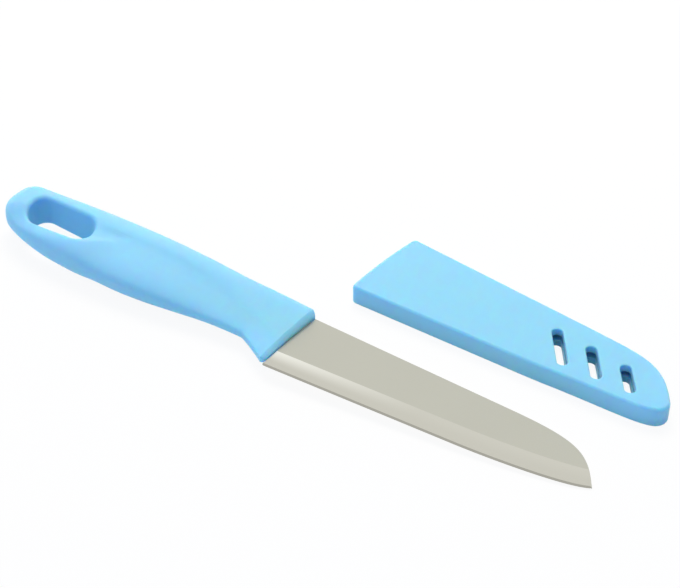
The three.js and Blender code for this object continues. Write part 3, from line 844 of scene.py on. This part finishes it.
class SheathForm:
    """The sheath's outline round the blade's, its cavity and the places of its drain slots."""

    def __init__(self, sizes, blade, outline):
        self.sizes = sizes
        self.outline = outline
        self.blade_length = blade.length
        self.cavity = blade.thickness + 2 * sizes.face_clearance
        self.thickness = self.cavity + 2 * sizes.face_wall
        self.mouth = sizes.mouth_bow + sizes.mouth_gap

    def reach(self, x):
        """Blade's outline to the sheath's outside, by a wall that is thinnest some way from both ends."""
        s = self.sizes
        share = np.clip((x - s.thin_at) / (self.blade_length - s.thin_at), 0, 1)
        near = lerp(s.mouth_wall, s.side_wall, x / s.thin_at)
        return s.clearance + np.where(x <= s.thin_at, near, lerp(s.side_wall, s.end_wall, share ** 2))

    def cavity_points(self):
        return self.outline.pushed_out(self.mouth, lambda x: np.full_like(x, self.sizes.clearance))

    def shell(self):
        """The outline from the edge corner round the tip to the spine corner, then along the bowed mouth.

        The second value says which of the mouth's points stand at the cavity's two corners."""
        s = self.sizes
        points = self.outline.pushed_out(self.mouth, self.reach)
        edge_corner, spine_corner = points[0], points[-1]
        bow = (self.mouth - 2 * s.mouth_bow, (spine_corner[1] + edge_corner[1]) / 2)
        rim = [spine_corner, bow, edge_corner]
        wide = spine_corner[1] - edge_corner[1]
        cavity = self.cavity_points()
        opening = [(spine_corner[1] - y) / wide for y in (cavity[-1][1], cavity[0][1])]
        ease = s.mouth_corner / wide
        shares = np.concatenate([
            np.linspace(ease, opening[0], APRON_STEPS, endpoint=False),
            np.linspace(opening[0], opening[1], OUTLINE_STEPS, endpoint=False),
            np.linspace(opening[1], 1 - ease, APRON_STEPS),
        ])
        mouth = bezier(rim, shares)[0]
        edge_start = edge_corner + unit(points[1] - edge_corner) * s.mouth_corner
        spine_end = spine_corner + unit(points[-2] - spine_corner) * s.mouth_corner
        corner_shares = np.linspace(0, 1, ROUND_STEPS + 2)[1:-1]
        spine_turn = bezier([spine_end, spine_corner, mouth[0]], corner_shares)[0]
        edge_turn = bezier([mouth[-1], edge_corner, edge_start], corner_shares)[0]
        sides = np.vstack([edge_start, points[1:-1], spine_end, spine_turn])
        first = len(sides) + APRON_STEPS
        return np.vstack([sides, mouth, edge_turn]), (first, first + OUTLINE_STEPS)

    def slot_middles(self):
        """Each drain slot's middle and the straight run between its two round ends."""
        s = self.sizes
        found = []
        for i in range(s.slots):
            x = self.blade_length - s.slot_from_tip - i * s.slot_pitch
            run = 0.0
            for _ in range(SLOT_TRIES):
                low = self.outline.edge(x + run) - self.reach(x + run) + s.slot_edge_margin
                high = self.outline.spine(x - run) + self.reach(x - run) - s.slot_spine_margin
                run = (high - low) / 2 / math.tan(s.slot_slant)
            straight = (high - low - s.slot_width) / math.sin(s.slot_slant)
            found.append(((x, float(low + high) / 2, 0), float(straight)))
        return found


def inset_loop(points, distance):
    """A closed outline drawn in by a distance, for an outline that runs anticlockwise."""
    before = unit(points - np.roll(points, 1, axis=0))
    after = unit(np.roll(points, -1, axis=0) - points)
    outward = unit(right_of(before) + right_of(after))
    return points - outward * distance


def draft_sheath(form):
    """The sheath's shell in rows from its upper face to its lower one, and its cavity."""
    s = form.sizes
    draft = Draft()
    shell, (opening_start, opening_end) = form.shell()
    top = form.thickness / 2
    lip = form.cavity / 2
    turns = QUARTER_TURN * np.arange(ROUND_STEPS + 1) / ROUND_STEPS
    rounded = [(s.edge_round * (1 - math.sin(t)), top - s.edge_round * (1 - math.cos(t))) for t in turns]
    upper = rounded + [(0.0, lip)]
    levels = upper + [(inset, -z) for inset, z in upper[::-1]]
    rows = []
    for inset, z in levels:
        loop = inset_loop(shell, inset)
        rows.append(draft.row(at_height(loop, z)))
    lip_row = len(upper) - 1
    for level, (first, second) in enumerate(zip(rows, rows[1:])):
        if level != lip_row:
            draft.strip(first, second)
    sides = list(range(opening_end, len(shell))) + list(range(opening_start + 1))
    upper_lip, lower_lip = rows[lip_row], rows[lip_row + 1]
    draft.strip([upper_lip[i] for i in sides], [lower_lip[i] for i in sides], closed=False)
    draft.face(rows[0])
    draft.face(rows[-1])

    cavity = form.cavity_points()
    loops = []
    for z, lip_points in ((lip, upper_lip), (-lip, lower_lip)):
        inner = draft.row(at_height(cavity, z))
        opening = lip_points[opening_start:opening_end + 1]
        loops.append([opening[-1]] + inner + [opening[0]])
        draft.face(opening + inner)
    draft.strip(loops[0], loops[1], closed=False)
    return draft


# Node trees

def add_node(tree, kind, inputs=(), output=0, **settings):
    """Adds a node and returns one of its outputs. An input is a value, or a socket to link from."""
    node = tree.nodes.new(kind)
    for name, value in settings.items():
        setattr(node, name, value)
    for key, value in dict(inputs).items():
        if isinstance(value, bpy.types.NodeSocket):
            tree.links.new(value, node.inputs[key])
        else:
            node.inputs[key].default_value = value
    return node.outputs[output] if node.outputs else None


def drain_slot_tree():
    """Cuts a slanted slot with rounded rims at each point of another object, as long as its reach says."""
    tree = bpy.data.node_groups.new("Drain slots", "GeometryNodeTree")
    kinds = {
        "Shell": "NodeSocketGeometry",
        "Slot middles": "NodeSocketObject",
        "Half width": "NodeSocketFloat",
        "Half thickness": "NodeSocketFloat",
        "Rim": "NodeSocketFloat",
        "Turn": "NodeSocketFloat",
        "Plastic": "NodeSocketMaterial",
    }
    for name, kind in kinds.items():
        tree.interface.new_socket(name, in_out="INPUT", socket_type=kind)
    tree.interface.new_socket("Slotted shell", in_out="OUTPUT", socket_type="NodeSocketGeometry")
    given = add_node(tree, "NodeGroupInput").node.outputs

    # One cutter is a round bar, whose rows are spread along the wall and over the two rims
    half_rows = ROUND_STEPS + 1
    bar = add_node(tree, "GeometryNodeMeshCylinder", {
        "Vertices": CUTTER_SIDES, "Side Segments": 2 * half_rows, "Radius": 1.0, "Depth": 2.0,
    })
    position = add_node(tree, "GeometryNodeInputPosition")
    x, y, z = add_node(tree, "ShaderNodeSeparateXYZ", {0: position}).node.outputs
    level = add_node(tree, "ShaderNodeMath", {0: z}, operation="ABSOLUTE")
    row = add_node(tree, "ShaderNodeMath", {0: level, 1: half_rows}, operation="MULTIPLY")
    wall_share = add_node(tree, "ShaderNodeMath", {0: row, 1: 1.0}, operation="MINIMUM")
    turn = add_node(tree, "ShaderNodeMapRange", {
        "Value": row, "From Min": 1.0, "From Max": half_rows, "To Max": QUARTER_TURN,
    })
    sine = add_node(tree, "ShaderNodeMath", {0: turn}, operation="SINE")
    cosine = add_node(tree, "ShaderNodeMath", {0: turn}, operation="COSINE")
    wall = add_node(tree, "ShaderNodeMath", {
        0: given["Half thickness"], 1: given["Rim"],
    }, operation="SUBTRACT")
    rise = add_node(tree, "ShaderNodeMath", {0: given["Rim"], 1: sine}, operation="MULTIPLY")
    tall = add_node(tree, "ShaderNodeMath", {0: wall, 1: wall_share, 2: rise}, operation="MULTIPLY_ADD")
    flare = add_node(tree, "ShaderNodeMath", {0: 1.0, 1: cosine}, operation="SUBTRACT")
    radius = add_node(tree, "ShaderNodeMath", {
        0: given["Rim"], 1: flare, 2: given["Half width"],
    }, operation="MULTIPLY_ADD")
    up_or_down = add_node(tree, "ShaderNodeMath", {0: z}, operation="SIGN")
    direction = add_node(tree, "ShaderNodeCombineXYZ", {0: x, 1: y, 2: up_or_down})
    extent = add_node(tree, "ShaderNodeCombineXYZ", {0: radius, 1: radius, 2: tall})
    shaped = add_node(tree, "ShaderNodeVectorMath", {0: direction, 1: extent}, operation="MULTIPLY")
    side = add_node(tree, "ShaderNodeMath", {0: x}, operation="SIGN")
    marked = add_node(tree, "GeometryNodeStoreNamedAttribute", {
        "Geometry": bar, "Name": "end", "Value": side,
    })
    cutter = add_node(tree, "GeometryNodeSetPosition", {"Geometry": marked, "Position": shaped})

    # Each slot gets a cutter, turned to its slant and drawn out both ways by its reach
    middles = add_node(tree, "GeometryNodeObjectInfo", {"Object": given["Slot middles"]}, "Geometry")
    rotation = add_node(tree, "ShaderNodeCombineXYZ", {2: given["Turn"]})
    cutters = add_node(tree, "GeometryNodeInstanceOnPoints", {
        "Points": middles, "Instance": cutter, "Rotation": rotation,
    })
    bars = add_node(tree, "GeometryNodeRealizeInstances", {0: cutters})
    end = add_node(tree, "GeometryNodeInputNamedAttribute", {"Name": "end"})
    reach = add_node(tree, "GeometryNodeInputNamedAttribute", {"Name": "reach"})
    stretch = add_node(tree, "ShaderNodeMath", {0: end, 1: reach}, operation="MULTIPLY")
    axis = add_node(tree, "ShaderNodeVectorRotate", {
        "Vector": (1, 0, 0), "Angle": given["Turn"],
    }, rotation_type="Z_AXIS")
    offset = add_node(tree, "ShaderNodeVectorMath", {0: axis, "Scale": stretch}, operation="SCALE")
    drawn_out = add_node(tree, "GeometryNodeSetPosition", {"Geometry": bars, "Offset": offset})

    slotted = add_node(tree, "GeometryNodeMeshBoolean", {
        "Mesh 1": given["Shell"], "Mesh 2": drawn_out,
    }, operation="DIFFERENCE", solver="EXACT")
    smooth = add_node(tree, "GeometryNodeSetShadeSmooth", {"Geometry": slotted})
    realized = add_node(tree, "GeometryNodeRealizeInstances", {0: smooth})
    finished = add_node(tree, "GeometryNodeSetMaterial", {
        "Geometry": realized, "Material": given["Plastic"],
    })
    add_node(tree, "NodeGroupOutput", {0: finished})
    return tree


def cut_drain_slots(piece, form, plastic):
    """Cuts the sheath's drain slots with the node tree and keeps the result as a plain mesh."""
    slots = form.slot_middles()
    points = bpy.data.meshes.new("slot_middles")
    points.from_pydata([middle for middle, run in slots], [], [])
    reaches = points.attributes.new("reach", "FLOAT", "POINT")
    reaches.data.foreach_set("value", [run / 2 for middle, run in slots])
    middles = add_object("slot_middles", points)
    tree = drain_slot_tree()
    values = {
        "Slot middles": middles,
        "Half width": form.sizes.slot_width / 2,
        "Half thickness": form.thickness / 2 * CUTTER_PROUD,
        "Rim": form.sizes.slot_rim,
        "Turn": -form.sizes.slot_slant,
        "Plastic": plastic,
    }
    modifier = piece.modifiers.new("Drain slots", "NODES")
    modifier.node_group = tree
    for name, value in values.items():
        modifier[tree.interface.items_tree[name].identifier] = value
    settle(piece)
    bpy.data.objects.remove(middles)
    bpy.data.meshes.remove(points)


# Materials

def new_material(name):
    material = bpy.data.materials.new(name)
    material.use_nodes = True
    material.node_tree.nodes.clear()
    return material, material.node_tree


def tinted(colour_value, share=1.0):
    return (*[min(channel * share, 1) for channel in colour_value], 1)


def marks(tree, size, stretch=(1, 1, 1)):
    """A 0 to 1 pattern of soft marks of a real size in metres, drawn out along an axis by a stretch."""
    place = add_node(tree, "ShaderNodeTexCoord", output="Object")
    scale = tuple(1 / (size * share) for share in stretch)
    scaled = add_node(tree, "ShaderNodeMapping", {"Vector": place, "Scale": scale})
    return add_node(tree, "ShaderNodeTexNoise", {"Vector": scaled, "Scale": 1.0})


def clouded(tree, colour_value):
    """A colour that is a little lighter and darker in wide patches."""
    return add_node(tree, "ShaderNodeMix", {
        0: marks(tree, CLOUD_SIZE),
        6: tinted(colour_value, 1 - CLOUDING),
        7: tinted(colour_value, 1 + CLOUDING),
    }, output=2, data_type="RGBA")


def moulded_polypropylene(finishes):
    """Polypropylene from a spark-eroded mould."""
    # An even satin that lets blue light through at its edges. The mould's grain is near 0.1 mm and
    # is drawn at 0.4 mm, so that it just shows.
    material, tree = new_material("moulded_polypropylene")
    grain = marks(tree, GRAIN_SIZE)
    bump = add_node(tree, "ShaderNodeBump", {"Height": grain, "Strength": 0.15, "Distance": GRAIN_DEPTH})
    roughness = add_node(tree, "ShaderNodeMapRange", {"Value": grain, "To Min": 0.42, "To Max": 0.5})
    shader = add_node(tree, "ShaderNodeBsdfPrincipled", {
        "Base Color": clouded(tree, finishes.plastic),
        "Roughness": roughness,
        "IOR": 1.49,
        "Specular IOR Level": 0.2,
        "Subsurface Weight": 1.0,
        "Subsurface Radius": (0.3, 1.6, 3.2),
        "Subsurface Scale": MM,
        "Normal": bump,
    })
    add_node(tree, "ShaderNodeOutputMaterial", {"Surface": shader})
    return material


def finish_steel(tree, tone, lines, roughness):
    """Gives a material the shader of steel with a tone and with fine lines of its finish."""
    bump = add_node(tree, "ShaderNodeBump", {"Height": lines, "Strength": 0.2, "Distance": LINE_DEPTH})
    spread = add_node(tree, "ShaderNodeMapRange", {
        "Value": lines, "To Min": roughness - LINE_SHEEN, "To Max": roughness + LINE_SHEEN,
    })
    shader = add_node(tree, "ShaderNodeBsdfPrincipled", {
        "Base Color": tone, "Metallic": 1.0, "Roughness": spread, "Normal": bump,
    })
    add_node(tree, "ShaderNodeOutputMaterial", {"Surface": shader})


def satin_stainless(finishes):
    """Cold-rolled stainless steel with a fine satin along the blade."""
    # Fine lines along the blade spread the reflection, so that the face looks an even warm grey.
    material, tree = new_material("satin_stainless")
    lines = marks(tree, SATIN_LINE, stretch=(60, 1, 1))
    finish_steel(tree, clouded(tree, finishes.steel), lines, roughness=0.42)
    return material


def wheel_ground_stainless(finishes):
    """Stainless steel with the lines that a grinding wheel leaves across the bevel, and a painted
    highlight.
    """
    # The lines run from the grind line to the edge and catch more light than the satin face. A painted
    # highlight lightens the bevel below the grind line, most of all at the heel.
    material, tree = new_material("wheel_ground_stainless")
    place = add_node(tree, "ShaderNodeTexCoord", output="Object")
    along = add_node(tree, "ShaderNodeSeparateXYZ", {0: place})
    highlight_reach = add_node(tree, "ShaderNodeMapRange", {
        "Value": along, "From Max": HIGHLIGHT_RUN, "To Min": 1.0, "To Max": TIP_HIGHLIGHT,
    })
    level = add_node(tree, "ShaderNodeAttribute", output="Fac", attribute_name=BEVEL_LEVEL)
    highlight_share = add_node(tree, "ShaderNodeMapRange", {
        "Value": level, "From Min": HIGHLIGHT_FROM, "To Max": highlight_reach,
    }, interpolation_type="SMOOTHSTEP")
    tone = add_node(tree, "ShaderNodeMix", {
        0: highlight_share, 6: tinted(finishes.ground), 7: tinted(finishes.painted_highlight),
    }, output=2, data_type="RGBA")
    finish_steel(tree, tone, marks(tree, WHEEL_LINE, stretch=(1, 30, 1)), roughness=0.34)
    return material


def honed_stainless(finishes):
    """Stainless steel honed along the cutting edge, in a darker colour that is painted shade."""
    # A narrow, coarser strip, whose colour is darkened as painted shade because it faces away from the
    # light.
    material, tree = new_material("honed_stainless")
    lines = marks(tree, WHEEL_LINE, stretch=(1, 8, 1))
    finish_steel(tree, clouded(tree, finishes.honed), lines, roughness=0.3)
    return material


def seen_directly(tree):
    """1 for rays from the camera, from a mirror or through glass, and 0 for the rays that light things."""
    path = add_node(tree, "ShaderNodeLightPath").node.outputs
    mirrored = add_node(tree, "ShaderNodeMath", {
        0: path["Is Camera Ray"], 1: path["Is Glossy Ray"],
    }, operation="MAXIMUM")
    return add_node(tree, "ShaderNodeMath", {
        0: mirrored, 1: path["Is Transmission Ray"],
    }, operation="MAXIMUM")


def white_paper(settings):
    """Matt white background paper."""
    # A diffuse white that takes the shadow, part of which shows as plain white where it is looked at.
    material, tree = new_material("white_paper")
    paper = add_node(tree, "ShaderNodeBsdfDiffuse", {"Color": tinted(settings.paper)})
    white = add_node(tree, "ShaderNodeEmission", {"Color": (1, 1, 1, 1), "Strength": 1.0})
    share = add_node(tree, "ShaderNodeMath", {
        0: seen_directly(tree), 1: settings.floor_white,
    }, operation="MULTIPLY")
    mixed = add_node(tree, "ShaderNodeMixShader", {0: share, 1: paper, 2: white})
    add_node(tree, "ShaderNodeOutputMaterial", {"Surface": mixed})
    return material


# Operators

def add_piece(piece, body, node):
    """Attaches a piece to its body and hides the part from model.glb that it stands for."""
    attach(piece, body)
    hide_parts(node)


def shared_plastic(scene):
    return bpy.data.materials.get("moulded_polypropylene") or moulded_polypropylene(scene.knife_finishes)


class CAMPING_KNIFE_OT_blade(bpy.types.Operator):
    """Build the blade with its bevels, its honed edge and its tang"""

    bl_idname = "camping_knife.blade"
    bl_label = "Blade"

    def execute(self, context):
        scene = context.scene
        sizes = scene.knife_blade
        form = HandleForm(scene.knife_handle, sizes)
        finishes = scene.knife_finishes
        steels = [satin_stainless(finishes), wheel_ground_stainless(finishes), honed_stainless(finishes)]
        outline = BladeOutline(sizes)
        place = knife_place(sizes)
        piece = draft_blade(sizes, outline, form).object("blade_steel", place, steels)
        # The bevel level places the painted highlight in the bevel's material
        mark_bevel(piece, place, sizes, outline)
        keep_flats_flat(piece)
        add_piece(piece, "knife", "blade")
        return {"FINISHED"}


class CAMPING_KNIFE_OT_handle(bpy.types.Operator):
    """Build the handle with its hang slot, its creased grip and the pocket round the tang"""

    bl_idname = "camping_knife.handle"
    bl_label = "Handle"

    def execute(self, context):
        scene = context.scene
        blade = scene.knife_blade
        draft = draft_handle(HandleForm(scene.knife_handle, blade), blade)
        piece = draft.object("handle_moulding", knife_place(blade), [shared_plastic(scene)], CREASE_ANGLE)
        keep_flats_flat(piece)
        add_piece(piece, "knife", "handle")
        return {"FINISHED"}


class CAMPING_KNIFE_OT_sheath(bpy.types.Operator):
    """Build the sheath with its cavity and its drain slots"""

    bl_idname = "camping_knife.sheath"
    bl_label = "Sheath"

    def execute(self, context):
        scene = context.scene
        blade = scene.knife_blade
        plastic = shared_plastic(scene)
        form = SheathForm(scene.knife_sheath, blade, BladeOutline(blade))
        draft = draft_sheath(form)
        piece = draft.object("sheath_moulding", Matrix.Identity(4), [plastic])
        cut_drain_slots(piece, form, plastic)
        piece.data.transform(sheath_place(draft.points))
        piece.data.set_sharp_from_angle(angle=CREASE_ANGLE)
        keep_flats_flat(piece)
        add_piece(piece, "sheath", "sheath")
        return {"FINISHED"}


class CAMPING_KNIFE_OT_stage(bpy.types.Operator):
    """Set up the floor, the even light, the softbox and the camera"""

    bl_idname = "camping_knife.stage"
    bl_label = "Stage"

    def execute(self, context):
        scene = context.scene
        settings = scene.knife_stage
        scene.view_settings.view_transform = "Standard"
        add_floor(settings)
        add_sky(scene, settings)
        add_softbox(settings)
        add_camera(scene, settings)
        return {"FINISHED"}


def add_floor(settings):
    half = FLOOR_SIZE / 2
    corners = [(-half, -half, 0), (half, -half, 0), (half, half, 0), (-half, half, 0)]
    mesh = bpy.data.meshes.new("floor")
    mesh.from_pydata(corners, [], [(0, 1, 2, 3)])
    mesh.materials.append(white_paper(settings))
    mesh.transform(Matrix.Translation((0, 0, CAD_BOX[0].z - FLOOR_GAP)))
    floor = add_object("floor", mesh)


def add_sky(scene, settings):
    """An even light from all round, which shows as plain white where it is looked at."""
    world = bpy.data.worlds.new("studio")
    world.use_nodes = True
    tree = world.node_tree
    tree.nodes.clear()
    direction = add_node(tree, "ShaderNodeTexCoord", output="Generated")
    sideways = add_node(tree, "ShaderNodeSeparateXYZ", {"Vector": direction})
    strength = add_node(tree, "ShaderNodeMapRange", {
        "Value": sideways, "From Min": -1.0, "From Max": 1.0,
        "To Min": settings.sky * (1 + settings.sky_fall), "To Max": settings.sky * (1 - settings.sky_fall),
    })
    light = add_node(tree, "ShaderNodeBackground", {
        "Color": tinted(settings.sky_colour), "Strength": strength,
    })
    white = add_node(tree, "ShaderNodeBackground", {"Color": (1, 1, 1, 1), "Strength": 1.0})
    mixed = add_node(tree, "ShaderNodeMixShader", {0: seen_directly(tree), 1: light, 2: white})
    add_node(tree, "ShaderNodeOutputWorld", {"Surface": mixed})
    scene.world = world


def add_softbox(settings):
    """A large soft lamp above and a little behind the object."""
    lamp = bpy.data.lights.new("softbox", "AREA")
    lamp.shape = "RECTANGLE"
    lamp.size, lamp.size_y = SOFTBOX_SIZE
    lamp.energy = settings.softbox_power
    lamp.color = settings.softbox_colour
    holder = add_object("softbox", lamp)
    holder.location = SOFTBOX_PLACE
    holder.rotation_euler = (-Vector(SOFTBOX_PLACE)).to_track_quat("-Z", "Y").to_euler()
    holder.visible_glossy = False


def add_camera(scene, settings):
    camera = bpy.data.cameras.new("camera")
    camera.lens = settings.lens
    holder = add_object("camera", camera)
    flat = math.cos(settings.elevation)
    back = Vector((
        math.sin(settings.azimuth) * flat, -math.cos(settings.azimuth) * flat, math.sin(settings.elevation),
    ))
    holder.location = Vector(settings.aim) + back * settings.distance
    holder.rotation_euler = (-back).to_track_quat("-Z", "Y").to_euler()
    scene.camera = holder


# Panel and registration

GROUPS = {
    "knife_blade": BladeSizes,
    "knife_handle": HandleSizes,
    "knife_sheath": SheathSizes,
    "knife_finishes": Finishes,
    "knife_stage": StageSettings,
}
OPERATORS = (
    CAMPING_KNIFE_OT_stage,
    CAMPING_KNIFE_OT_blade,
    CAMPING_KNIFE_OT_handle,
    CAMPING_KNIFE_OT_sheath,
)


class CAMPING_KNIFE_PT_panel(bpy.types.Panel):
    """Lists the operators, then the sizes, finishes and stage settings that they use."""

    bl_label = "Camping Knife"
    bl_space_type = "VIEW_3D"
    bl_region_type = "UI"
    bl_category = "Camping Knife"

    def draw(self, context):
        layout = self.layout
        for operator in OPERATORS:
            layout.operator(operator.bl_idname)
        for attribute, group in GROUPS.items():
            box = layout.box()
            box.label(text=group.__doc__)
            for name in group.__annotations__:
                box.prop(getattr(context.scene, attribute), name)


CLASSES = (*GROUPS.values(), *OPERATORS, CAMPING_KNIFE_PT_panel)


def register():
    for cls in CLASSES:
        bpy.utils.register_class(cls)
    for attribute, group in GROUPS.items():
        setattr(bpy.types.Scene, attribute, PointerProperty(type=group))


def unregister():
    for attribute in GROUPS:
        delattr(bpy.types.Scene, attribute)
    for cls in reversed(CLASSES):
        bpy.utils.unregister_class(cls)


def main():
    register()
    bpy.ops.camping_knife.stage()
    bpy.ops.camping_knife.blade()
    bpy.ops.camping_knife.handle()
    bpy.ops.camping_knife.sheath()


if __name__ == "__main__":
    main()
